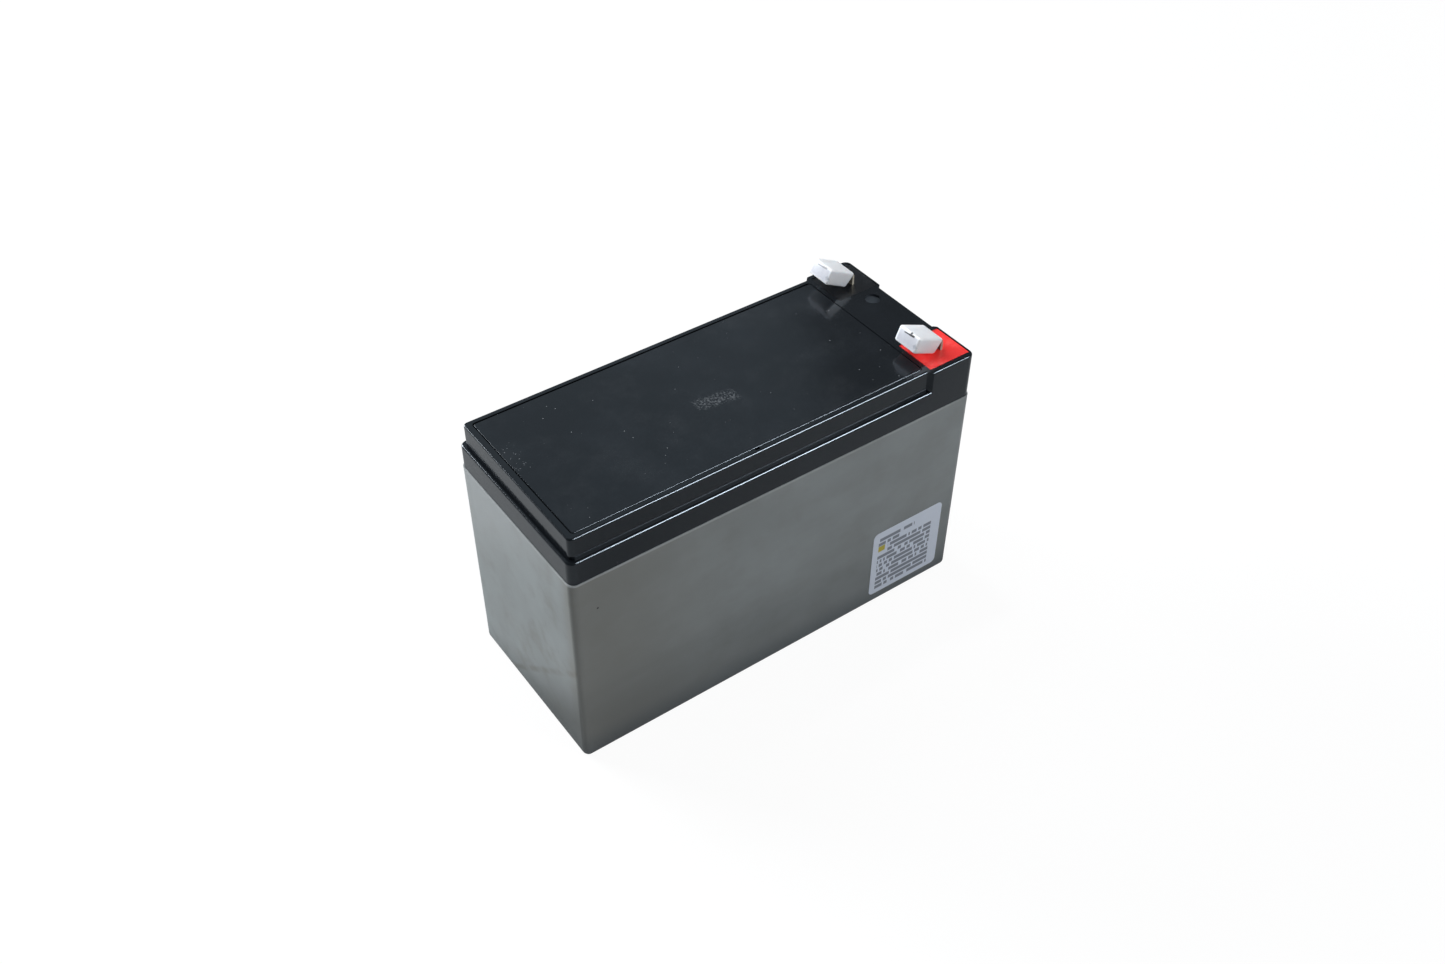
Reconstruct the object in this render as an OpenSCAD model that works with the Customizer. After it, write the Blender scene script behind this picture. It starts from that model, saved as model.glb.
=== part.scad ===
// Sealed lead acid battery, 12 V, with two blade tabs at one end.
// The origin is the middle of the underside. +X points to the terminal end,
// -Y is the front with the sticker, +Z is up. Millimetres.

/* [Container] */
// Length over the end walls
case_l = 151; // [130:1:200]
// Width over the side walls
case_w = 65; // [60:1:90]
// Height from the underside to the lid joint
case_h = 77.7; // [70:0.1:120]
// Thickness of the outer walls
wall_t = 2.6; // [2.2:0.1:3.2]
// Thickness of the floor
floor_t = 2.6; // [2:0.1:4]
// Thickness of the walls between the cells
partition_t = 1.6; // [1.4:0.1:2.4]
// How much each side of the foot stands in from the top, for the mould's draft
draft = 0.2; // [0.1:0.05:0.6]
// Radius of the upright corners
corner_r = 2.4; // [2.2:0.1:4]
// Radius along the bottom edges
foot_r = 2; // [0.6:0.1:2.2]
// Radius of the upright corners inside a cell
cell_r = 1; // [0.5:0.1:2]
// Height of the ribs that the plates stand on
rib_h = 2; // [1:0.1:4]
// Thickness of these ribs
rib_t = 1.8; // [1.2:0.1:3]

/* [Lid joint] */
// Width of the tongue along the container's rim
tongue_w = 0.8; // [0.5:0.1:1]
// Height of this tongue
tongue_h = 1.2; // [0.6:0.1:2]
// Room for cement beside and above the tongue
cement_gap = 0.1; // [0.05:0.05:0.2]

/* [Lid] */
// How far the lid's outline stands in from the container's
lid_inset = 0.25; // [0:0.05:0.4]
// Height of the lower step, from the joint to the ledge
skirt_h = 8.5; // [6:0.1:12]
// Height of the raised block above the ledge
block_h = 7.8; // [6:0.1:12]
// Width of the ledge along the sides of the raised block
ledge_w = 1.5; // [0.8:0.1:2]
// Width of the ledge at its ends
end_ledge_w = 1.35; // [0.8:0.05:2]
// Radius along the ledge's outer edge
ledge_r = 0.8; // [0.3:0.1:1.2]
// Radius along the block's top edge
top_r = 0.6; // [0.2:0.1:0.9]
// Radius of the block's upright corners
block_r = 1.6; // [1:0.1:2.4]
// Thickness of the deck above the cells
deck_t = 2.6; // [2:0.1:3.5]
// Height of the free space above each cell, inside the lid
headroom = 4.5; // [3:0.1:5]
// Thickness of the lid's top skin, where it is cored out from below
skin_t = 2.4; // [2:0.1:3]

/* [Cover plate] */
// Thickness of the plate
plate_t = 1.6; // [1.2:0.1:2.4]
// Width of the lip left standing along the plate's recess
lip_w = 1.75; // [1.2:0.05:2.5]
// Width of this lip at the end away from the terminals
end_lip_w = 2.15; // [1.2:0.05:2.5]
// Gap between the plate and its recess
plate_gap = 0.4; // [0.2:0.05:0.8]
// This gap at the end near the terminals, where the plate is pushed home
plate_end_gap = 0.1; // [0.05:0.05:0.4]
// Width of the seat under the plate's rim
seat_w = 1.6; // [1:0.1:3]
// How far the plate's top lies below the lid's top
plate_drop = 0.1; // [0:0.05:0.3]
// Radius of the plate's corners
plate_r = 0.8; // [0.4:0.1:2]
// Radius along the plate's top edge
plate_edge_r = 0.25; // [0.1:0.05:0.5]
// Length of the pry notch in the front lip
notch_l = 1.6; // [1:0.1:3]
// How far this notch reaches into the lip
notch_w = 0.9; // [0.4:0.1:1.1]
// Depth of this notch
notch_d = 0.8; // [0.4:0.1:1.5]
// Place of this notch along the plate
notch_x = -8.5; // [-30:0.5:30]
// Thickness of the ribs that carry the plate
web_t = 1.6; // [1.2:0.1:2.4]

/* [Valves] */
// Diameter of a valve chimney
chimney_d = 7; // [6:0.1:8]
// Bore of a chimney
chimney_bore = 3.6; // [2.5:0.1:4.5]
// Wall of the rubber cap
cap_wall = 1.3; // [0.8:0.1:1.6]
// Thickness of the rubber cap's crown
cap_crown = 1.5; // [1:0.1:2]
// Height of the rubber cap
cap_h = 5.4; // [4:0.1:5.6]
// Distance of the chimneys from the middle wall
valve_y = 8.5; // [7.5:0.1:12]
// How far each chimney stands from the middle of its cell, away from the terminals
valve_shift = 3.6; // [3:0.1:6]

/* [Terminal pockets] */
// Length of a pocket
pocket_l = 16.4; // [15:0.1:17]
// Width of a pocket
pocket_w = 15.5; // [13:0.1:16.5]
// Lip between a pocket and the lid's end
pocket_end_lip = 0.8; // [0.7:0.1:2]
// Lip between a pocket and the lid's side
pocket_side_lip = 1.9; // [1.2:0.1:2.5]
// Radius of a pocket's corners
pocket_r = 0.5; // [0.3:0.1:1.5]
// How far the resin's top lies below the lid's top
resin_drop = 0.3; // [0.1:0.05:1]
// Diameter of the tooling recess between the pockets
dimple_d = 5.3; // [4:0.1:8]
// Depth of this recess
dimple_h = 0.8; // [0.4:0.1:1.2]
// Distance of this recess from the block's end wall
dimple_in = 6.1; // [5:0.1:9]
// Distance of this recess from the middle
dimple_y = 9.6; // [6:0.1:10]

/* [Tabs] */
// Width of the brass strip
tab_w = 6.35; // [4.75:0.05:7]
// Thickness of the brass strip
tab_t = 0.8; // [0.5:0.05:1]
// Distance of the upright part from the container's end wall
riser_in = 7.6; // [6.5:0.1:9]
// Bend radius along the middle of the strip
bend_r = 1.4; // [1:0.1:2]
// Length of the foot that is cast in
foot_l = 7.4; // [6:0.1:8]
// Length of the blade beyond its upper bend
blade_l = 10.9; // [10:0.1:13]
// Height of the upper bend's corner above the lid
bend_rise = 3.4; // [2.5:0.1:5]
// How far the blade's line on the positive side rises, in degrees
positive_tilt = 23.3; // [15:0.1:30]
// How far the blade's line on the negative side rises, in degrees
negative_tilt = 27.4; // [15:0.1:30]
// How far the positive tab lies from its pocket's middle, towards the middle wall
positive_shift = 1.5; // [-2:0.1:2]
// The same on the negative side, where the tab lies further out
negative_shift = -0.6; // [-2:0.1:2]
// Diameter of the lead post
post_d = 6.6; // [5:0.1:7.2]
// Gap round the post in the lid
post_gap = 0.4; // [0.2:0.05:0.6]
// Height of the post's end above the deck
post_rise = 2; // [1:0.1:3]

/* [Terminal caps] */
// Length of a cap along the blade
cap_l = 11.2; // [10:0.1:13]
// Width of a cap
cap_w = 9.8; // [8.6:0.1:11]
// Thickness of a cap
cap_t = 5.5; // [4.5:0.1:6.5]
// Radius of a cap's edges
cap_r = 0.8; // [0.4:0.1:1.2]
// Height of the slit above the cap's middle plane
slit_up = 1.6; // [1:0.1:1.7]
// Room round the blade in its slit
slit_gap = 0.1; // [0.05:0.05:0.2]
// How far the cap's outer end stands past the blade's tip
tip_in = 0.4; // [0.2:0.1:1]
// How far the cap's middle plane lies from the blade's middle, across the blade
cap_off = 0.55; // [-0.6:0.05:0.6]
// How much shorter the cap is underneath, at the end where the blade goes in
cap_slant = 1.5; // [0.5:0.1:3]

/* [Sticker] */
// Length of the sticker
label_l = 30.2; // [20:0.1:40]
// Height of the sticker
label_h = 29; // [15:0.1:40]
// Thickness of the sticker
label_t = 0.12; // [0.05:0.01:0.3]
// Radius of its corners
label_r = 2; // [0.5:0.1:4]
// Distance of the sticker from the container's end at the terminals
label_in = 6.1; // [4:0.1:20]
// Height of its lower edge
label_z = 4.6; // [3:0.1:12]

/* [Plates] */
// Gap between the tops of the cast lead flags and the container's rim
rim_gap = 2.7; // [1:0.1:4]
// Gap between a plate's side and the wall of its cell
grid_gap = 1.8; // [1.4:0.1:3]
// Thickness of a positive plate
positive_t = 2.6; // [2:0.1:2.8]
// Thickness of a negative plate
negative_t = 1.8; // [1.4:0.1:2]
// Gap between a separator's side and the wall of its cell
mat_gap = 0.6; // [0.3:0.1:1.2]
// How far a separator stands above the plates
mat_rise = 1.5; // [0.5:0.1:2]
// Gap left at each side of a pack of plates
pack_gap = 0.2; // [0.1:0.05:0.3]
// Width of a plate's lug
lug_w = 7; // [5:0.1:9]
// Distance of the lugs' middle from the plate's side
lug_in = 7; // [5:0.1:9]
// Length of a lug, from the plate to its strap
lug_l = 4; // [3:0.1:6]
// Thickness of a cast strap
strap_t = 3.2; // [2:0.1:4]
// Width of a cast strap
strap_w = 9; // [7.4:0.1:10]
// Height of the flag that is welded to the next cell, above its strap
flag_h = 5.2; // [5:0.1:6]
// Width of this flag
flag_w = 11; // [9:0.1:13]
// Thickness of this flag
flag_t = 2.4; // [1.6:0.1:3]
// Diameter of the weld through the wall
weld_d = 5.6; // [4:0.1:6]

/* [Hidden] */
$fn = 64;
// Number of cells along the block, in each of the two rows
columns = 3;
// Number of positive plates in a cell, with one more negative plate
positives = 4;
// Reach of cutting solids past the faces that they open
over = 1;
// Reach of a strip's straight stretches into its bends, so that they join
lap = 0.05;

case_x = case_l / 2;
case_y = case_w / 2;
lid_x = case_x - lid_inset;
lid_y = case_y - lid_inset;
block_x = lid_x - end_ledge_w;
block_y = lid_y - ledge_w;
ledge_z = case_h + skirt_h;
top_z = ledge_z + block_h;
deck_bottom = case_h + headroom;
deck_top = deck_bottom + deck_t;
lean = atan(draft / case_h);

cell_l = (case_l - 2 * wall_t - (columns - 1) * partition_t) / columns;
cell_w = (case_w - 2 * wall_t - partition_t) / 2;
cell_pitch = cell_l + partition_t;
row_y = (cell_w + partition_t) / 2;

pocket_x1 = lid_x - pocket_end_lip;
pocket_x0 = pocket_x1 - pocket_l;
pocket_y = lid_y - pocket_side_lip - pocket_w / 2;
corner_x0 = pocket_x0;
corner_y0 = pocket_y - pocket_w / 2;

recess_x0 = -block_x + end_lip_w;
recess_x1 = pocket_x0 - lip_w;
recess_y = block_y - lip_w;
plate_top = top_z - plate_drop;
plate_z = plate_top - plate_t;
chimney_top = plate_z - cap_crown;

riser_x = case_x - riser_in;
foot_z = deck_top + post_rise;
bend_z = top_z + bend_rise;
post_x = riser_x - foot_l + post_d / 2;
positive_y = -pocket_y + positive_shift;
negative_y = pocket_y - negative_shift;

grid_l = cell_l - 2 * grid_gap;
grid_z = floor_t + rib_h;
strap_z = case_h - rim_gap - flag_h - strap_t;
grid_top = strap_z - lug_l;
grid_h = grid_top - grid_z;
lug_x = grid_l / 2 - lug_in;
mat_t = (cell_w - 2 * pack_gap - positives * positive_t - (positives + 1) * negative_t) / (2 * positives);
plate_pitch = positive_t + negative_t + 2 * mat_t;
weld_z = strap_z + (strap_t + flag_h) / 2;

// Cells in the order of the current: along the front row away from the
// terminals, across the middle wall, and back along the rear row.
cells = [for (k = [0:2 * columns - 1])
    k < columns
        ? [((columns - 1) / 2 - k) * cell_pitch, -row_y, 1]
        : [(k - (3 * columns - 1) / 2) * cell_pitch, row_y, -1]];

// Flat outlines

module rounded_rect(half_x, half_y, r) {
    square([2 * (half_x - r), 2 * half_y], center = true);
    square([2 * half_x, 2 * (half_y - r)], center = true);
    for (sx = [-1, 1], sy = [-1, 1])
        translate([sx * (half_x - r), sy * (half_y - r)]) circle(r);
}

// The outer w of a wall's section, which leans in towards a round foot
module leaning_rim(w, h, r) {
    foot_x = w - draft + r * tan(lean) - r / cos(lean);
    side_x = foot_x + r * cos(lean);
    side_z = r - r * sin(lean);
    polygon([[0, 0], [foot_x, 0], [side_x, side_z], [w, h], [0, h]]);
    intersection() {
        translate([foot_x, r]) circle(r);
        square([w, h]);
    }
}

// The outer w of an upright wall's section, with a round upper corner
module crowned_rim(w, z0, z1, r) {
    translate([0, z0]) square([w, z1 - z0 - r]);
    translate([0, z0]) square([w - r, z1 - z0]);
    translate([w - r, z1 - r]) circle(r);
}

// Solids swept along one axis

module along_x(reach) {
    rotate([90, 0, 90]) linear_extrude(2 * reach, center = true) children();
}

module along_y(reach) {
    rotate([90, 0, 0]) linear_extrude(2 * reach, center = true) children();
}

// A block with uprights of radius r. The child is the outer r of its section, which is
// turned round each corner and swept along each side of a plain core.
module framed_block(half_x, half_y, z0, z1, r) {
    core_x = half_x - r;
    core_y = half_y - r;
    translate([-core_x, -core_y, z0]) cube([2 * core_x, 2 * core_y, z1 - z0]);
    for (i = [0, 1], j = [0, 1]) mirror([i, 0, 0]) mirror([0, j, 0])
        translate([core_x, core_y, 0]) rotate_extrude(angle = 90) children();
    for (i = [0, 1]) mirror([0, i, 0]) translate([0, core_y, 0]) along_x(core_x) children();
    for (i = [0, 1]) mirror([i, 0, 0]) translate([core_x, 0, 0]) along_y(core_y) children();
}

// A block with round uprights and a round top edge
module crowned_block(half_x, half_y, z0, z1, upright_r, edge_r) {
    framed_block(half_x, half_y, z0, z1, upright_r) crowned_rim(upright_r, z0, z1, edge_r);
}

// The middle lines of the container's rim and partitions, as strips of one width
module joint_strips(w) {
    rim_x = case_x - wall_t / 2;
    rim_y = case_y - wall_t / 2;
    difference() {
        rounded_rect(rim_x + w / 2, rim_y + w / 2, corner_r / 2);
        square([2 * rim_x - w, 2 * rim_y - w], center = true);
    }
    square([2 * rim_x, w], center = true);
    for (i = [1:columns - 1])
        translate([(i - columns / 2) * cell_pitch, 0]) square([w, 2 * rim_y], center = true);
}

module cell_outline() {
    rounded_rect(cell_l / 2, cell_w / 2, cell_r);
}

// Container: one moulding with a well for each cell

module container() {
    color("#4b4f52") {
        difference() {
            framed_block(case_x, case_y, 0, case_h, corner_r) leaning_rim(corner_r, case_h, foot_r);
            for (c = cells)
                translate([c[0], c[1], floor_t]) linear_extrude(case_h) cell_outline();
            for (k = [0:2 * columns - 2]) weld_plug(k, partition_t + over);
        }
        for (c = cells, s = [-1, 1])
            translate([c[0] + s * grid_l / 4 - rib_t / 2, c[1] - cell_w / 2, floor_t])
                cube([rib_t, cell_w, rib_h]);
        translate([0, 0, case_h - over]) linear_extrude(tongue_h + over) joint_strips(tongue_w);
    }
}

// Lid: skirt, raised block, two terminal corners, valve chamber and pockets

// The block grows out to the lid's full outline round each pocket, over a 45 degree step
module terminal_corner() {
    intersection() {
        crowned_block(lid_x, lid_y, case_h, top_z, corner_r, top_r);
        linear_extrude(top_z + over) polygon([
            [corner_x0 - ledge_w, corner_y0 - end_ledge_w],
            [corner_x0 - ledge_w, block_y],
            [corner_x0, lid_y],
            [case_x, lid_y + case_x - corner_x0],
            [case_x, corner_y0 + case_x - lid_x],
            [block_x, corner_y0 - end_ledge_w]]);
    }
}

module pocket(z1) {
    translate([(pocket_x0 + pocket_x1) / 2, pocket_y, deck_top])
        linear_extrude(z1 - deck_top) rounded_rect(pocket_l / 2, pocket_w / 2, pocket_r);
}

module valve_places() {
    for (c = cells) translate([valve_x(c), sign(c[1]) * valve_y, 0]) children();
}

function valve_x(c) = c[0] - valve_shift;

module lid_outside() {
    crowned_block(lid_x, lid_y, case_h, ledge_z, corner_r, ledge_r);
    crowned_block(block_x, block_y, case_h, top_z, block_r, top_r);
    for (s = [0, 1]) mirror([0, s, 0]) terminal_corner();
}

// What is taken out from above
module lid_chamber() {
    centre_x = (recess_x0 + recess_x1) / 2;
    half_x = (recess_x1 - recess_x0) / 2;
    translate([centre_x, 0, plate_z]) linear_extrude(top_z)
        rounded_rect(half_x, recess_y, plate_r + plate_gap);
    difference() {
        translate([centre_x, 0, deck_top]) linear_extrude(plate_z - deck_top + over)
            rounded_rect(half_x - seat_w, recess_y - seat_w, plate_r);
        along_y(case_y) translate([centre_x - half_x, deck_top])
            for (i = [1:columns - 1]) translate([i * (2 * half_x) / columns, 0])
                square([web_t, plate_z - deck_top]);
        along_x(case_x) translate([-web_t / 2, deck_top]) square([web_t, plate_z - deck_top]);
        valve_places() cylinder(d = chimney_d, h = chimney_top);
    }
    translate([notch_x - notch_l / 2, -recess_y - notch_w, top_z - notch_d])
        cube([notch_l, notch_w + over, notch_d + over]);
}

// What is taken out from below
module lid_wells() {
    for (c = cells) translate([c[0], c[1], 0]) linear_extrude(deck_bottom) cell_outline();
    translate([0, 0, case_h - over]) linear_extrude(tongue_h + cement_gap + over)
        joint_strips(tongue_w + 2 * cement_gap);
    for (s = [0, 1]) mirror([0, s, 0])
        translate([pocket_x0, partition_t / 2, 0])
            cube([block_x - skin_t - pocket_x0, corner_y0 - skin_t - partition_t / 2, top_z - skin_t]);
}

module lid() {
    color("#2e3336") difference() {
        lid_outside();
        lid_chamber();
        lid_wells();
        valve_places() cylinder(d = chimney_bore, h = top_z);
        for (s = [0, 1]) mirror([0, s, 0]) pocket(top_z + over);
        for (y = [positive_y, negative_y])
            translate([post_x, y, case_h]) cylinder(d = post_d + 2 * post_gap, h = deck_top);
        translate([block_x - dimple_in, dimple_y, top_z - dimple_h])
            cylinder(d = dimple_d, h = dimple_h + over);
    }
}

module cover_plate() {
    x0 = recess_x0 + plate_gap;
    x1 = recess_x1 - plate_end_gap;
    color("#33383d") translate([(x0 + x1) / 2, 0, 0])
        crowned_block((x1 - x0) / 2, recess_y - plate_gap, plate_z, plate_top, plate_r, plate_edge_r);
}

// A rubber cap stretched over each chimney, held down by the plate
module valve_cap(k) {
    c = cells[k];
    color("#1c1c1e") translate([valve_x(c), sign(c[1]) * valve_y, 0]) difference() {
        translate([0, 0, plate_z - cap_h]) cylinder(d = chimney_d + 2 * cap_wall, h = cap_h);
        translate([0, 0, plate_z - cap_h - over]) cylinder(d = chimney_d, h = cap_h - cap_crown + over);
    }
}

// Tabs: one strip with a cast foot, an upright and a tilted blade

module bend(r, from, to) {
    reach = 2 * r;
    mid = (from + to) / 2;
    intersection() {
        difference() {
            circle(r + tab_t / 2);
            circle(r - tab_t / 2);
        }
        polygon([[0, 0], reach * [cos(from), sin(from)],
            reach / cos((to - from) / 2) * [cos(mid), sin(mid)], reach * [cos(to), sin(to)]]);
    }
}

// The strip's side view, with X along the block and Y upwards
module tab_side(tilt) {
    set_back = bend_r * tan((90 - tilt) / 2);
    middle_z = foot_z + tab_t / 2;
    translate([riser_x - foot_l, foot_z]) square([foot_l - bend_r + lap, tab_t]);
    translate([riser_x - bend_r, middle_z + bend_r]) bend(bend_r, -90, 0);
    translate([riser_x - tab_t / 2, middle_z + bend_r - lap])
        square([tab_t, bend_z - set_back - middle_z - bend_r + 2 * lap]);
    translate([riser_x - bend_r, bend_z - set_back]) bend(bend_r, 0, 90 - tilt);
    translate([riser_x, bend_z]) rotate(-tilt) translate([-set_back - blade_l, -tab_t / 2])
        square([blade_l + lap, tab_t]);
}

module tab(y, tilt) {
    translate([0, y, 0]) along_y(tab_w / 2) tab_side(tilt);
}

module terminal(y, tilt) {
    color("#c9c3b4") tab(y, tilt);
}

// Resin cast round the post and the tab's foot
module seal(y, tilt, tint) {
    color(tint) difference() {
        mirror([0, y < 0 ? 1 : 0, 0]) pocket(top_z - resin_drop);
        tab(y, tilt);
        translate([post_x, y, case_h]) cylinder(d = post_d, h = foot_z + tab_t / 2 - case_h);
    }
}

// Cap: a moulded sleeve pushed over the blade, with a slit at its outer end
module terminal_cap(y, tilt) {
    set_back = bend_r * tan((90 - tilt) / 2);
    middle = -set_back - blade_l - tip_in + cap_l / 2;
    color("#e8eaf0") translate([riser_x, y + cap_off, bend_z]) rotate([0, tilt, 0])
        translate([middle, 0, -slit_up]) difference() {
            intersection() {
                linear_extrude(cap_t, center = true) rounded_rect(cap_l / 2, cap_w / 2, cap_r);
                along_x(cap_l) rounded_rect(cap_w / 2, cap_t / 2, cap_r);
                along_y(cap_w) difference() {
                    rounded_rect(cap_l / 2, cap_t / 2, cap_r);
                    polygon([[cap_l / 2 - cap_slant, -cap_t / 2], [cap_l, -cap_t / 2],
                        [cap_l, cap_t / 2], [cap_l / 2, cap_t / 2 - cap_r]]);
                }
            }
            translate([-cap_l, -cap_off - tab_w / 2 - slit_gap, slit_up - tab_t / 2 - slit_gap])
                cube([2 * cap_l, tab_w + 2 * slit_gap, tab_t + 2 * slit_gap]);
        }
}

// Sticker, lying on the leaning front wall
module label() {
    color("#d4d8e2") translate([case_x - label_in - label_l / 2, -case_y + draft, 0])
        rotate([90 + lean, 0, 0]) translate([0, label_z + label_h / 2, 0])
            linear_extrude(label_t) rounded_rect(label_l / 2, label_h / 2, label_r);
}

// Plates of one cell. Each kind has its lugs on one side, cast into one strap.

module plate_row(count, t) {
    for (i = [0:count - 1]) translate([0, (i - (count - 1) / 2) * plate_pitch, 0]) {
        translate([-grid_l / 2, -t / 2, grid_z]) cube([grid_l, t, grid_h]);
        translate([lug_x - lug_w / 2, -t / 2, grid_top]) cube([lug_w, t, lug_l]);
    }
    strap_y = (count - 1) * plate_pitch + t;
    translate([lug_x - strap_w / 2, -strap_y / 2, strap_z]) cube([strap_w, strap_y, strap_t]);
}

// A flag stands on the strap against an end wall of the cell
module end_flag() {
    x0 = lug_x - strap_w / 2;
    translate([x0, -flag_w / 2, strap_z]) cube([cell_l / 2 - x0, flag_w, strap_t]);
    translate([cell_l / 2 - flag_t, -flag_w / 2, strap_z]) cube([flag_t, flag_w, strap_t + flag_h]);
}

// A flag stands on the strap against the middle wall, on the cell's left or right
module middle_flag() {
    reach = cell_w / 2;
    translate([lug_x - strap_w / 2, 0, strap_z]) cube([strap_w, reach, strap_t]);
    translate([lug_x - flag_w / 2, reach - flag_t, strap_z]) cube([flag_w, flag_t, strap_t + flag_h]);
}

// The plates of one kind in cell k. side is 1 where the lugs are nearer the terminals.
module plates_of(k, count, t, side) {
    c = cells[k];
    ends_here = (k == 0 || k == 2 * columns - 1) && side == 1;
    turns_here = (k == columns - 1 || k == columns) && side == -1;
    translate([c[0], c[1], 0]) mirror([side < 0 ? 1 : 0, 0, 0]) {
        plate_row(count, t);
        if (turns_here) mirror([0, c[1] > 0 ? 1 : 0, 0]) middle_flag();
        if (!ends_here && !turns_here) end_flag();
    }
    if (ends_here)
        translate([post_x, c[1] < 0 ? positive_y : negative_y, strap_z])
            cylinder(d = post_d, h = foot_z - strap_z);
}

module positive_plates(k) {
    color("#4a3a33") plates_of(k, positives, positive_t, cells[k][2]);
}

module negative_plates(k) {
    color("#7d8084") plates_of(k, positives + 1, negative_t, -cells[k][2]);
}

// Glass mat between the plates, a little larger than they are
module separators(k) {
    c = cells[k];
    mat_l = cell_l - 2 * mat_gap;
    mat_y = (positive_t + mat_t) / 2;
    color("#f0f0ec") for (i = [0:positives - 1], s = [-1, 1]) {
        y = c[1] + (i - (positives - 1) / 2) * plate_pitch + s * mat_y;
        translate([c[0] - mat_l / 2, y - mat_t / 2, grid_z]) cube([mat_l, mat_t, grid_h + mat_rise]);
    }
}

// Weld k joins cell k to the next through the wall between them
module weld_plug(k, reach) {
    from = cells[k];
    to = cells[k + 1];
    across = k == columns - 1;
    x = across ? from[0] - lug_x : (from[0] + to[0]) / 2;
    y = across ? 0 : from[1];
    translate([x, y, weld_z]) rotate(across ? [90, 0, 0] : [0, 90, 0])
        cylinder(d = weld_d, h = reach, center = true);
}

module intercell_weld(k) {
    color("#6f7378") weld_plug(k, partition_t);
}

container();
lid();
cover_plate();
label();
terminal(positive_y, positive_tilt);  // positive_terminal
terminal(negative_y, negative_tilt);  // negative_terminal
seal(positive_y, positive_tilt, "#d63a36");  // positive_seal
seal(negative_y, negative_tilt, "#26282b");  // negative_seal
terminal_cap(positive_y, positive_tilt);  // positive_terminal_cap
terminal_cap(negative_y, negative_tilt);  // negative_terminal_cap
for (k = [1:2 * columns]) {
    valve_cap(k - 1);
    positive_plates(k - 1);
    negative_plates(k - 1);
    separators(k - 1);
}
for (k = [1:2 * columns - 1])
    intercell_weld(k - 1);
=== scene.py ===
import math

import bmesh
import bpy
from mathutils import Matrix, Vector


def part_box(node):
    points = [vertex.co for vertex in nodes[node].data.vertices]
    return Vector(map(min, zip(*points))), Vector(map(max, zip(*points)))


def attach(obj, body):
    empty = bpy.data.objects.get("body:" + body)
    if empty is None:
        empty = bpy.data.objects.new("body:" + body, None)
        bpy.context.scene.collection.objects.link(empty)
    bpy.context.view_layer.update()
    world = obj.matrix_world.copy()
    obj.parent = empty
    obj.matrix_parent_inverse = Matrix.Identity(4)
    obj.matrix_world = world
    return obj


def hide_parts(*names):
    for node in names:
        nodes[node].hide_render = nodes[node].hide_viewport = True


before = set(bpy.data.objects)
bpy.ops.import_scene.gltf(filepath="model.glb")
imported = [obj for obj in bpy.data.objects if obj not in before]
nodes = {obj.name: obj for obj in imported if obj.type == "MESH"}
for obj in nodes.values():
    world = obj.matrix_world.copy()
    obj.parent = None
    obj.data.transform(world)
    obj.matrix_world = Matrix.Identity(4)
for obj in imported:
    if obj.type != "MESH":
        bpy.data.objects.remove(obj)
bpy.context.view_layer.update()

scene = bpy.context.scene
scene.view_settings.view_transform = "Standard"
MM = 0.001

# Camera. It looks down at the long front wall and the end wall away from the terminals,
# from half a metre off, as a product is photographed on a table.

camera_at = Vector((-208.69, -290.53, 379.27)) * MM
camera_turn = math.radians(-35.696)
camera_rise = math.radians(42.231)
camera_roll = math.radians(0.314)
photo_width_px = 1445
focal_length_px = 1483.65

back = Vector((math.sin(camera_turn) * math.cos(camera_rise),
               -math.cos(camera_turn) * math.cos(camera_rise),
               math.sin(camera_rise)))
level = Vector((math.cos(camera_turn), math.sin(camera_turn), 0))
right = math.cos(camera_roll) * level + math.sin(camera_roll) * back.cross(level)
up = back.cross(right)
camera = bpy.data.objects.new("camera", bpy.data.cameras.new("camera"))
camera.data.lens = camera.data.sensor_width * focal_length_px / photo_width_px
camera.data.clip_start = 0.01
turn = Matrix((right, up, back)).transposed()
camera.matrix_world = Matrix.Translation(camera_at) @ turn.to_4x4()
scene.collection.objects.link(camera)
scene.camera = camera


# Container. One moulding in grey ABS, with a well for each of the six cells inside.
# Its satin walls are a little cloudy and marked from handling, the end wall most of all.
# Painted shade darkens them towards the bottom front and along the foot, and painted light
# brightens the end wall's upper back and the container's top edge under the lid.

case_grey = (0.236, 0.253, 0.253)
case_pale = (0.267, 0.288, 0.291)
case_stain = (0.158, 0.150, 0.128)
case_brown = (0.175, 0.170, 0.150)
case_painted_light = (0.36, 0.375, 0.38)
case_low_shade = (0.078, 0.083, 0.080)
case_foot_shade = (0.055, 0.068, 0.082)
case_rubbed = (0.200, 0.182, 0.148)
speck_black = (0.03, 0.03, 0.03)
end_x, front_y, rim_z, foot_rise = -75.0, -31.0, 76.9, 13.0
edge_x, edge_y, edge_w = 74.3, 31.3, 1.0
speck_x, speck_z, speck_r = -67.3, 64.8, 0.42
smear_y, smear_z, smear_slope, smear_w = -7.8, 19.6, -0.85, 2.2


class Value:
    """What a socket gives. Arithmetic on it adds the Math nodes."""

    def __init__(self, pattern, socket):
        self.pattern = pattern
        self.socket = socket

    def __add__(self, other):
        return self.pattern.math("ADD", self, other)

    def __radd__(self, other):
        return self.pattern.math("ADD", other, self)

    def __sub__(self, other):
        return self.pattern.math("SUBTRACT", self, other)

    def __rsub__(self, other):
        return self.pattern.math("SUBTRACT", other, self)

    def __mul__(self, other):
        return self.pattern.math("MULTIPLY", self, other)

    def __rmul__(self, other):
        return self.pattern.math("MULTIPLY", other, self)

    def __truediv__(self, other):
        return self.pattern.math("DIVIDE", self, other)

    def __abs__(self):
        return self.pattern.math("ABSOLUTE", self)

    def __lt__(self, other):
        return self.pattern.math("LESS_THAN", self, other)

    def __gt__(self, other):
        return self.pattern.math("GREATER_THAN", self, other)


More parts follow.
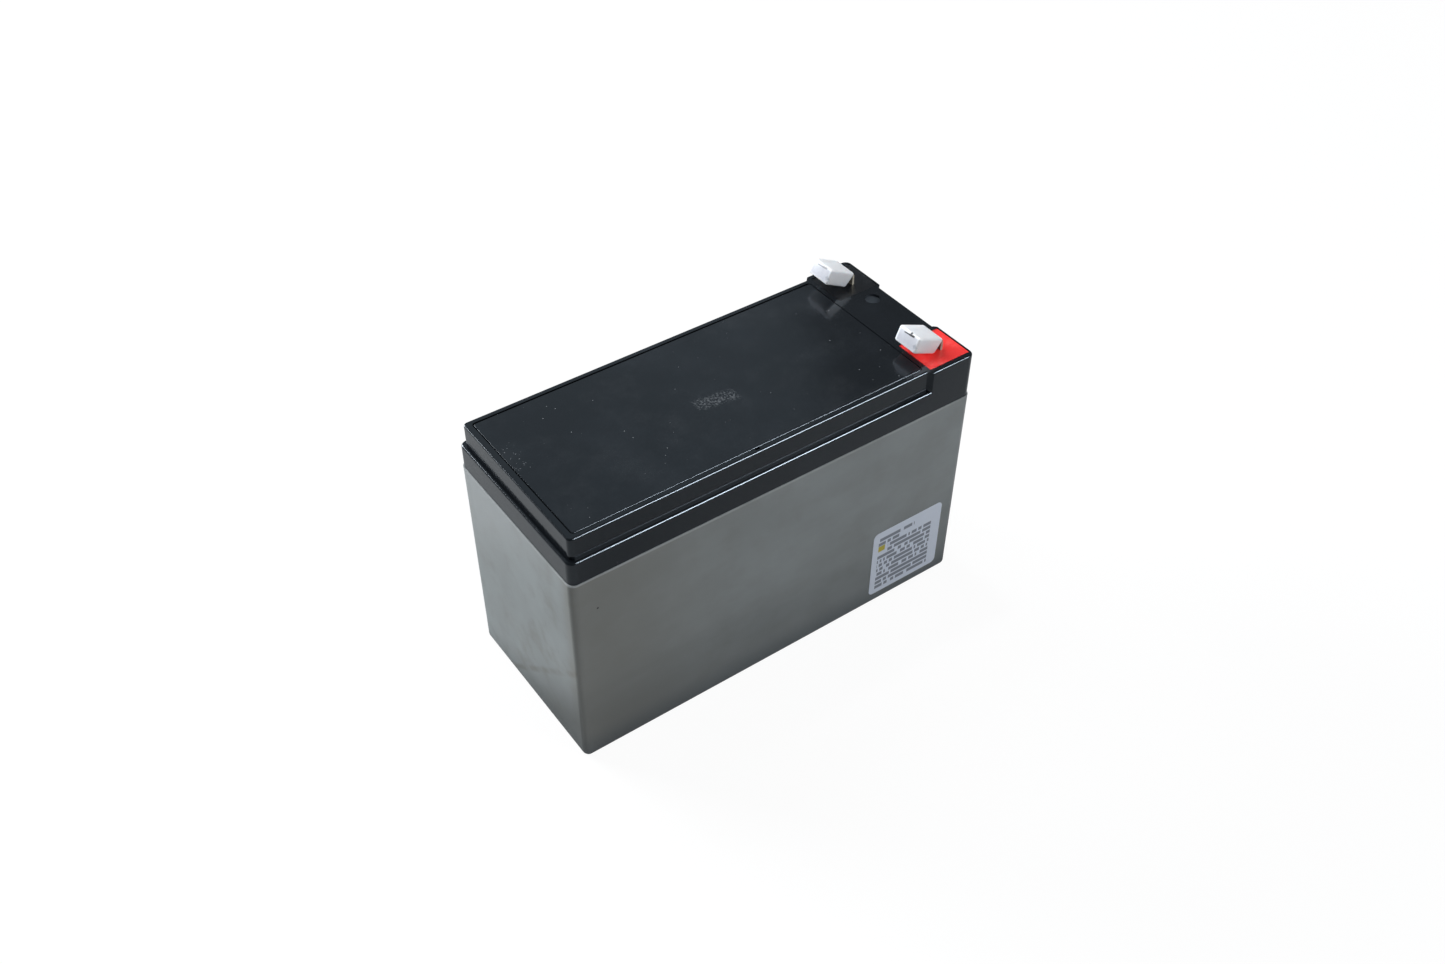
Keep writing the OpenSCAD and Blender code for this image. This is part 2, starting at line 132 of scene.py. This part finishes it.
class Pattern:
    """The nodes of a material or of the sky."""

    def __init__(self, tree):
        self.tree = tree

    def node(self, kind, settings, inputs, output=0):
        """Adds a node: first its settings, then the value or link of each socket."""
        made = self.tree.nodes.new(kind)
        for name, value in settings.items():
            setattr(made, name, value)
        for key, value in inputs.items() if isinstance(inputs, dict) else enumerate(inputs):
            if isinstance(value, Value):
                self.tree.links.new(value.socket, made.inputs[key])
            else:
                made.inputs[key].default_value = value
        return Value(self, made.outputs[output])

    def math(self, operation, *values):
        return self.node("ShaderNodeMath", {"operation": operation}, values)


class Finish(Pattern):
    """One material. Plain numbers of its shader are given at the start, what varies by link()."""

    def __init__(self, name, **plain):
        self.material = bpy.data.materials.new(name)
        self.material.use_nodes = True
        super().__init__(self.material.node_tree)
        self.shader = self.tree.nodes["Principled BSDF"]
        for socket, value in plain.items():
            self.shader.inputs[socket.replace("_", " ")].default_value = value

    def parts(self, kind, value):
        """The three numbers in a vector or a colour."""
        made = self.node(kind, {}, [value]).socket.node
        return [Value(self, socket) for socket in made.outputs]

    def link(self, **inputs):
        for socket, value in inputs.items():
            self.tree.links.new(value.socket, self.shader.inputs[socket.replace("_", " ")])

    def place(self, stretch=(1, 1, 1)):
        """Where a point lies on the battery, in millimetres. stretch squeezes the pattern."""
        coords = self.node("ShaderNodeTexCoord", {}, {}, "Object")
        return self.node("ShaderNodeMapping", {},
                         {"Vector": coords, "Scale": [s / MM for s in stretch]})

    def cloud(self, place, size, detail=3.0, roughness=0.55):
        """Soft noise round 0.5. size is the width of one blotch in millimetres."""
        return self.node("ShaderNodeTexNoise", {}, {"Vector": place, "Scale": 1 / size,
                                                    "Detail": detail, "Roughness": roughness})

    def fade(self, value, start, end):
        """A smooth step from 0 at start to 1 at end. start may be the larger."""
        if start > end:
            return 1 - self.fade(value, end, start)
        return self.node("ShaderNodeMapRange", {"interpolation_type": "SMOOTHSTEP"},
                         [value, start, end, 0.0, 1.0])

    def distance(self, across, along):
        return self.math("SQRT", across * across + along * along)

    def blob(self, across, along, half_across, half_along, soft):
        """1 in a rectangle round zero, with soft edges."""
        return (self.fade(abs(across), half_across, half_across - soft)
                * self.fade(abs(along), half_along, half_along - soft))

    def specks(self, place, spacing, radius, share):
        """Round specks of mixed sizes, in the given share of the pattern's cells."""
        cells = {"Vector": place, "Scale": 1 / spacing}
        near = self.node("ShaderNodeTexVoronoi", {}, cells, "Distance")
        lot = self.node("ShaderNodeTexVoronoi", {}, cells, "Color")
        chance, size, _ = self.parts("ShaderNodeSeparateColor", lot)
        reach = near * spacing / (radius * (0.35 + size))
        return self.fade(reach, 1.0, 0.5) * (chance < share)

    def mix(self, low, high, factor):
        colours = [c if isinstance(c, Value) else (*c, 1) for c in (low, high)]
        return self.node("ShaderNodeMix", {"data_type": "RGBA"},
                         {0: factor, 6: colours[0], 7: colours[1]}, 2)

    def bump(self, height, depth, strength=1.0):
        """A normal from a height of 0 to 1 that stands for depth millimetres."""
        return self.node("ShaderNodeBump", {},
                         {"Height": height, "Distance": depth * MM, "Strength": strength})

    def dress(self, *names):
        """Puts the material on CAD nodes."""
        for name in names:
            mesh = nodes[name].data
            mesh.materials.clear()
            mesh.materials.append(self.material)


case = Finish("container_abs", IOR=1.38)
at = case.place()
x, y, z = case.parts("ShaderNodeSeparateXYZ", at)
clouds = case.cloud(at, 24, 3.0)
smears = case.cloud(case.place((0.3, 0.3, 1)), 6, 4.0)
tone = case.mix(case_grey, case_pale, case.fade(clouds * 0.65 + smears * 0.35, 0.38, 0.66))
on_end = case.fade(x, end_x, end_x - 0.3)
stains = case.fade(case.cloud(at, 9, 5.0), 0.45, 0.78) * (0.15 + 0.3 * on_end)
tone = case.mix(tone, case_stain, stains)
browned = case.fade(x, -5.0, end_x) * case.fade(y, front_y + 7.0, front_y - 1.0)
tone = case.mix(tone, case_brown, browned * 0.62)
smear = case.fade(abs(z - smear_z - smear_slope * (y - smear_y)), smear_w, 0.3)
tone = case.mix(tone, case_stain, smear * on_end * case.fade(smears, 0.35, 0.6) * 0.6)
rubbed = case.fade(abs(x), edge_x, edge_x + edge_w) * case.fade(abs(y), edge_y, edge_y + edge_w)
tone = case.mix(tone, case_rubbed, 1.4 * (rubbed * case.cloud(at, 6, 4.0)))
# Painted shade: the walls darken towards the bottom front, the end wall most of all.
low_shade = case.fade(z + 0.6 * y + 5.0 * smears, 26.0, -4.0) * (0.32 + 0.6 * on_end)
tone = case.mix(tone, case_low_shade, low_shade)
# Painted shade along the foot, just above the floor.
tone = case.mix(tone, case_foot_shade, case.fade(z, foot_rise, 0.0) * (0.55 - 0.35 * on_end))
# Painted light: the end wall is paler towards its top back.
tone = case.mix(tone, case_painted_light, case.fade(z + 0.6 * y, 50.0, 85.0) * on_end * 0.6)
# Painted highlight along the container's top edge under the lid.
rim_highlight = case.fade(z, rim_z, rim_z + 0.4) * (0.4 + case.fade(case.cloud(at, 14, 2.0), 0.3, 0.6))
tone = case.mix(tone, case_painted_light, rim_highlight)
speck = case.fade(case.distance(x - speck_x, z - speck_z), speck_r, 0.6 * speck_r)
tone = case.mix(tone, speck_black, speck * (y < front_y))
case.link(Base_Color=tone, Roughness=0.40 + 0.16 * smears,
          Normal=case.bump(case.cloud(at, 0.35, 2.0), 0.02, 0.3))
case.dress("container")


# Plates, mats and welds. Each cell holds pasted lead grids, brown on the positive side and
# grey on the negative, with glass mats between them. Their cast straps are welded through the
# walls from cell to cell.

paste_brown, paste_pale = (0.050, 0.028, 0.020), (0.100, 0.060, 0.045)
lead_grey, lead_pale = (0.150, 0.155, 0.160), (0.260, 0.265, 0.270)
mat_white, mat_pale = (0.72, 0.72, 0.69), (0.86, 0.86, 0.84)

paste = Finish("positive_mass")
at = paste.place()
paste.link(Base_Color=paste.mix(paste_brown, paste_pale, paste.cloud(at, 2)),
           Roughness=0.75 + 0.2 * paste.cloud(at, 1), Normal=paste.bump(paste.cloud(at, 0.5), 0.1))
lead = Finish("cast_lead", Metallic=0.5)
at = lead.place()
lead.link(Base_Color=lead.mix(lead_grey, lead_pale, lead.cloud(at, 3)),
          Roughness=0.45 + 0.25 * lead.cloud(at, 1), Normal=lead.bump(lead.cloud(at, 0.8), 0.08))
mat = Finish("glass_mat")
at = mat.place((1, 0.3, 1))
mat.link(Base_Color=mat.mix(mat_white, mat_pale, mat.cloud(at, 1)),
         Roughness=0.8 + 0.15 * mat.cloud(at, 1), Normal=mat.bump(mat.cloud(at, 0.3), 0.1))
for cell in range(1, 7):
    paste.dress(f"cell_{cell}_positive_plates")
    lead.dress(f"cell_{cell}_negative_plates")
    mat.dress(f"cell_{cell}_separators")
for weld in range(1, 6):
    lead.dress(f"intercell_weld_{weld}")


# Lid. One moulding in black ABS, cemented on the container's rim. Its polished skin shows
# a thin film, hairlines and a little dust.

lid_black = (0.0065, 0.0080, 0.0100)
lid_film = (0.0130, 0.0155, 0.0190)
lid_sheen = (0.80, 0.90, 1.0, 1)
dust_grey = (0.200, 0.210, 0.225)
dimple_x, dimple_y, dimple_r = 67.8, 9.6, 2.7
dimple_top = 93.95
dimple_pale = (0.024, 0.029, 0.035)


def gloss(name, film_start, dust_share):
    """Polished black plastic. Gives its finish, its place and its tone."""
    finish = Finish(name, IOR=1.46, Specular_Tint=lid_sheen)
    at = finish.place()
    film = finish.fade(finish.cloud(at, 26, 5.0, 0.6), film_start, 0.8)
    dust = finish.specks(at, 2.6, 0.16, dust_share)
    tone = finish.mix(finish.mix(lid_black, lid_film, film), dust_grey, dust)
    hairlines = finish.fade(finish.cloud(finish.place((0.06, 2.2, 1)), 0.8, 2.0), 0.66, 0.74)
    finish.link(Base_Color=tone, Roughness=0.13 + 0.10 * film + 0.05 * hairlines + 0.3 * dust,
                Normal=finish.bump(finish.cloud(at, 9, 1.0), 0.004, 0.3))
    return finish, at, tone


lid, at, tone = gloss("lid_abs", 0.5, 0.05)
x, y, z = lid.parts("ShaderNodeSeparateXYZ", at)
# Inside the dimple the lid is paler and rougher.
hollow = lid.fade(lid.distance(x - dimple_x, y - dimple_y), dimple_r, dimple_r - 0.1)
hollow = hollow * lid.fade(z, dimple_top, dimple_top - 0.05)
lid.link(Base_Color=lid.mix(tone, dimple_pale, hollow), Roughness=0.15 + 0.5 * hollow)
lid.dress("lid")


# Valve caps. A sleeve of black EPDM rubber stretched over each chimney, under the plate.

rubber_black, rubber_pale = (0.012, 0.012, 0.013), (0.030, 0.030, 0.032)

rubber = Finish("valve_rubber")
at = rubber.place()
rubber.link(Base_Color=rubber.mix(rubber_black, rubber_pale, rubber.cloud(at, 2)),
            Roughness=0.55 + 0.3 * rubber.cloud(at, 1))
rubber.dress(*(f"valve_cap_{cell}" for cell in range(1, 7)))


# Cover plate. A flat black ABS plate pushed into the lid's recess and cemented there. A
# smudge, a patch of dust and scattered specks lie on it.

smudge_x, smudge_y, smudge_l, smudge_w, smudge_lean = -5.2, -3.6, 15.5, 7.0, -0.14
cluster_x, cluster_y, cluster_l, cluster_w = -68.6, 8.0, 7.0, 18.0
grit_grey = (0.42, 0.43, 0.45)
fleck_grey = (0.30, 0.31, 0.33)
plate_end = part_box("cover_plate")[1].x / MM

plate, at, tone = gloss("plate_abs", 0.42, 0.16)
x, y, _ = plate.parts("ShaderNodeSeparateXYZ", at)
along = x - smudge_x
across = y - smudge_y - smudge_lean * along
worn = plate.blob(along, across, smudge_l / 2, smudge_w / 2, 2.0)
worn = worn * plate.fade(plate.cloud(at, 0.75, 3.0, 0.7), 0.47, 0.62)
cluster = plate.blob(x - cluster_x, y - cluster_y, cluster_l / 2, cluster_w / 2, 3.0)
cluster = cluster * plate.specks(at, 0.8, 0.20, 0.75)
flecks = plate.specks(at, 5.0, 0.18, 0.5)
flecks = flecks + plate.specks(at, 1.9, 0.2, 0.5) * plate.fade(x, plate_end - 1.5, plate_end - 0.5)
grit = plate.specks(at, 1.9, 0.17, 0.35) * plate.fade(plate.cloud(at, 22, 2.0), 0.42, 0.62)
tone = plate.mix(tone, dust_grey, worn * 0.45)
tone = plate.mix(tone, dust_grey, cluster)
tone = plate.mix(tone, grit_grey, grit * 0.8)
haze = plate.fade(plate.cloud(at, 15, 6.0, 0.75), 0.45, 0.75)
tone = plate.mix(tone, dust_grey, haze * 0.04)
tone = plate.mix(tone, fleck_grey, flecks)
plate.link(Base_Color=tone)
plate.dress("cover_plate")


# Tabs. One strip of tinned brass each, stamped, bent and welded to its post.

tin_dull, tin_bright = (0.20, 0.18, 0.14), (0.32, 0.29, 0.24)

tin = Finish("tinned_brass", Metallic=1.0)
brushed = tin.cloud(tin.place((1, 8, 1)), 2)
tin.link(Base_Color=tin.mix(tin_dull, tin_bright, brushed),
         Roughness=0.42 + 0.2 * brushed, Normal=tin.bump(brushed, 0.01, 0.3))
tin.dress("positive_terminal", "negative_terminal")


# Sealing resin. Epoxy poured into each pocket round its tab, red at the positive one and
# black at the negative. It sets a little uneven.

resin_red, resin_red_pale = (0.97, 0.042, 0.038), (0.98, 0.105, 0.095)
resin_black, resin_black_pale = (0.006, 0.007, 0.009), (0.014, 0.015, 0.018)


def resin(name, node, base, pale):
    finish = Finish(name, IOR=1.4)
    at = finish.place()
    swirl = finish.cloud(at, 3.5, 3.0)
    finish.link(Base_Color=finish.mix(base, pale, finish.fade(swirl, 0.5, 0.75)),
                Roughness=0.28 + 0.2 * swirl,
                Normal=finish.bump(finish.cloud(at, 5, 1.0), 0.25, 0.8))
    finish.dress(node)


resin("red_resin", "positive_seal", resin_red, resin_red_pale)
resin("black_resin", "negative_seal", resin_black, resin_black_pale)


# Terminal caps. A sleeve of milky soft polyethylene pushed over each blade. Its closed end
# has a narrow slit, a vent on one cap and a sink mark. Painted shadow draws the slit and the vent
# dark, and painted shade greys the sink mark and the middle of the end.

cap_l, cap_w, cap_t, cap_r, cap_slant = 11.2, 9.8, 5.5, 0.8, 1.5
cap_milk, cap_pale = (0.86, 0.865, 0.90), (0.92, 0.93, 0.96)
cap_end_shade = (0.46, 0.47, 0.53)
cap_sink_shade = (0.30, 0.31, 0.36)
cap_shadow = (0.02, 0.02, 0.025)
slit_u, slit_v, slit_lean, slit_l = -0.15, 1.75, 0.1, 2.6
sink_u, sink_v = -3.9, -0.6
vent_u, vent_v = -0.7, 2.45
elsewhere = 99.0


def milky(name, vented):
    """Milky plastic. The marks lie on the cap's end, at u across it and v up it."""
    finish = Finish(name, IOR=1.5, Subsurface_Weight=0.5, Subsurface_Scale=2 * MM,
                    Subsurface_Radius=(1.0, 0.9, 0.85))
    milk = finish.cloud(finish.place(), 4)
    end = finish.node("ShaderNodeUVMap", {"uv_map": "end"}, {})
    u, v, _ = finish.parts("ShaderNodeSeparateXYZ", end)
    tone = finish.mix(cap_milk, cap_pale, milk)
    # Painted shade: the middle of the cap's end is greyer.
    end_shade = finish.fade(abs(u), 4.7, 3.6) * finish.fade(abs(v), 2.6, 1.6)
    end_shade = end_shade * (0.45 + 0.5 * finish.cloud(finish.place(), 2.5))
    tone = finish.mix(tone, cap_end_shade, end_shade)
    # Painted shade of the sink mark's shallow dip.
    sink = finish.fade(abs(u - sink_u) + abs(v - sink_v), 1.2, 0.5)
    tone = finish.mix(tone, cap_sink_shade, sink * 0.6)
    width = 0.17 + 0.12 * finish.fade(u, 0.3, -0.6)
    slit = finish.fade(abs(v - slit_v + slit_lean * u) / width, 1.6, 0.7)
    slit = slit * finish.fade(abs(u - slit_u), slit_l, slit_l - 0.7)
    depth = 1.0 if vented else 0.55
    tone = finish.mix(tone, cap_shadow, depth * slit)
    if vented:
        vent = finish.fade(abs(u - vent_u), 0.5, 0.2) * finish.fade(abs(v - vent_v), 0.4, 0.15)
        tone = finish.mix(tone, cap_shadow, vent)
    finish.link(Base_Color=tone, Roughness=0.34 + 0.12 * milk, Normal=finish.bump(milk, 0.1, 0.4))
    return finish.material


def terminal_cap(node, name, tilt_degrees, vented):
    tilt = math.radians(tilt_degrees)
    low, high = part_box(node)
    rise = cap_r + (cap_l / 2 - cap_r) * math.sin(tilt) + (cap_t / 2 - cap_r) * math.cos(tilt)
    middle = (low + high) / 2
    middle.z = high.z - rise * MM
    build = bmesh.new()
    bmesh.ops.create_cube(build, size=1)
    bmesh.ops.scale(build, vec=(cap_l, cap_w, cap_t), verts=build.verts)
    for vert in build.verts:
        if vert.co.x > 0 and vert.co.z < 0:
            vert.co.x -= cap_slant
    bmesh.ops.bevel(build, geom=build.edges[:], offset=cap_r, offset_type="OFFSET", segments=5,
                    profile=0.5, affect="EDGES", material=-1)
    ends = build.loops.layers.uv.new("end")
    for face in build.faces:
        face.smooth = True
        for loop in face.loops:
            on_end = loop.vert.co.x < cap_r - cap_l / 2
            loop[ends].uv = loop.vert.co.yz if on_end else (elsewhere, elsewhere)
    seat = Matrix.Translation(middle) @ Matrix.Rotation(tilt, 4, "Y") @ Matrix.Scale(MM, 4)
    bmesh.ops.transform(build, matrix=seat, verts=build.verts)
    cap = bpy.data.objects.new(name, bpy.data.meshes.new(name))
    build.to_mesh(cap.data)
    build.free()
    scene.collection.objects.link(cap)
    cap.data.materials.append(milky(name, vented))
    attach(cap, "root")
    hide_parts(node)


terminal_cap("positive_terminal_cap", "positive_cap", 23.3, True)
terminal_cap("negative_terminal_cap", "negative_cap", 27.4, False)


# Sticker. White coated paper with plain grey bars for its print and a yellow field.

bar_rows, bar_pitch, word_l = 12.0, 2.05, 0.75
margin_top, margin_left, bar_indent = 2.6, 2.4, 4.2
field_x, field_z, field_half_l, field_half_h = 3.9, 25.8, 1.6, 1.4
paper_grey, paper_pale = (0.65, 0.70, 0.80), (0.71, 0.76, 0.86)
ink_grey = (0.07, 0.08, 0.11)
field_yellow = (0.50, 0.41, 0.03)
label_low, label_high = (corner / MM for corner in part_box("label"))

paper = Finish("sticker_paper", IOR=1.45)
at = paper.place()
x, _, z = paper.parts("ShaderNodeSeparateXYZ", at)
row = (label_high.z - margin_top - z) / bar_pitch
line = paper.math("FLOOR", row)
letter = paper.math("FLOOR", x / word_l + line * 0.37)
lot = paper.node("ShaderNodeTexWhiteNoise", {"noise_dimensions": "2D"},
                 {"Vector": paper.node("ShaderNodeCombineXYZ", {}, [letter, line, 0.0])})
ink = (lot > 0.15) * paper.fade(abs(row - line - 0.5), 0.44, 0.26)
full = label_high.x - label_low.x
reach = full * (0.86 - 0.48 * (line < 1.5) + 0.22 * (line < 0.5))
ink = ink * (row > 0.0) * (row < bar_rows) * (x - label_low.x < reach)
indent = bar_indent * (line > 1.5) * (line < 3.5)
ink = ink * (x - label_low.x - margin_left > indent)
tone = paper.mix(paper_grey, paper_pale, paper.cloud(at, 7))
tone = paper.mix(tone, ink_grey, ink * 0.75)
field = paper.blob(x - label_low.x - field_x, z - field_z, field_half_l, field_half_h, 0.3)
tone = paper.mix(tone, field_yellow, field)
paper.link(Base_Color=tone, Roughness=0.38 + 0.15 * paper.cloud(at, 3))
paper.dress("label")


# Studio. A pale floor that runs out of view under a pale sky, a key lamp behind on the left,
# a wide dim panel that the plate mirrors, lamps above and in front, and a spot on the caps.
# The strip only shows as lines along the front edges, and the fill above has no reflection.

floor_grey = (0.55, 0.55, 0.55, 1)
sky_blue = (0.86, 0.93, 1.0, 1)
white = (1, 1, 1, 1)
floor_glow, glow_share, sky_strength = 1.07, 0.88, 0.19
battery_middle = Vector((0, 0, 0.05))
cap_tops = Vector((0.066, -0.01, 0.1))

grid = bmesh.new()
bmesh.ops.create_grid(grid, x_segments=1, y_segments=1, size=6.0)
floor = bpy.data.objects.new("floor", bpy.data.meshes.new("floor"))
grid.to_mesh(floor.data)
grid.free()
scene.collection.objects.link(floor)
table = Finish("table_white", Base_Color=floor_grey, Roughness=0.9)
floor.data.materials.append(table.material)
seen = table.node("ShaderNodeLightPath", {}, {}, "Is Camera Ray") * glow_share
glow = table.node("ShaderNodeEmission", {}, {"Color": white, "Strength": floor_glow})
blend = table.node("ShaderNodeMixShader", {},
                   {0: seen, 1: Value(table, table.shader.outputs[0]), 2: glow})
table.tree.links.new(blend.socket, table.tree.nodes["Material Output"].inputs["Surface"])

world = bpy.data.worlds.new("studio")
world.use_nodes = True
scene.world = world
sky = Pattern(world.node_tree)
ambient = sky.tree.nodes["Background"]
ambient.inputs["Color"].default_value = sky_blue
ambient.inputs["Strength"].default_value = sky_strength
backdrop = sky.node("ShaderNodeBackground", {}, {"Color": white})
seen = sky.node("ShaderNodeLightPath", {}, {}, "Is Camera Ray")
choose = sky.node("ShaderNodeMixShader", {},
                  {0: seen, 1: Value(sky, ambient.outputs[0]), 2: backdrop})
sky.tree.links.new(choose.socket, sky.tree.nodes["World Output"].inputs["Surface"])


def hang(name, data, at, target):
    """Hangs a lamp at a place and turns it to a target."""
    made = bpy.data.objects.new(name, data)
    made.location = at
    made.rotation_euler = (target - Vector(at)).to_track_quat("-Z", "Y").to_euler()
    scene.collection.objects.link(made)
    return made


def lamp(name, at, width, height, radiance, colour=(1, 1, 1)):
    """A soft lamp that faces the battery."""
    data = bpy.data.lights.new(name, "AREA")
    data.shape = "RECTANGLE"
    data.size = width
    data.size_y = height
    data.energy = radiance * math.pi * width * height
    data.color = colour
    return hang(name, data, at, battery_middle)


lamp("key_lamp", (-0.58, 1.04, 0.44), 0.5, 0.5, 26, (0.95, 0.98, 1.0))
top_fill = lamp("top_fill", (-0.2, 0.9, 1.3), 0.5, 0.5, 9, (0.94, 0.98, 1.0))
top_fill.visible_glossy = False
lamp("ceiling_panel", (0.26, 1.00, 1.07), 1.1, 1.1, 0.345, (0.79, 0.92, 1.0))
lamp("front_fill", (0.60, -1.10, 1.10), 0.6, 0.6, 7.5)
front_strip = lamp("front_strip", (0.56, -0.95, 0.61), 0.5, 0.30, 62, (0.88, 0.94, 1.0))
front_strip.visible_diffuse = False

snoot = bpy.data.lights.new("snoot", "SPOT")
snoot.energy = 40
snoot.spot_size = math.radians(6)
snoot.spot_blend = 1.0
snoot.shadow_soft_size = 0.08
hang("snoot", snoot, (0.0, 0.36, 1.22), cap_tops)
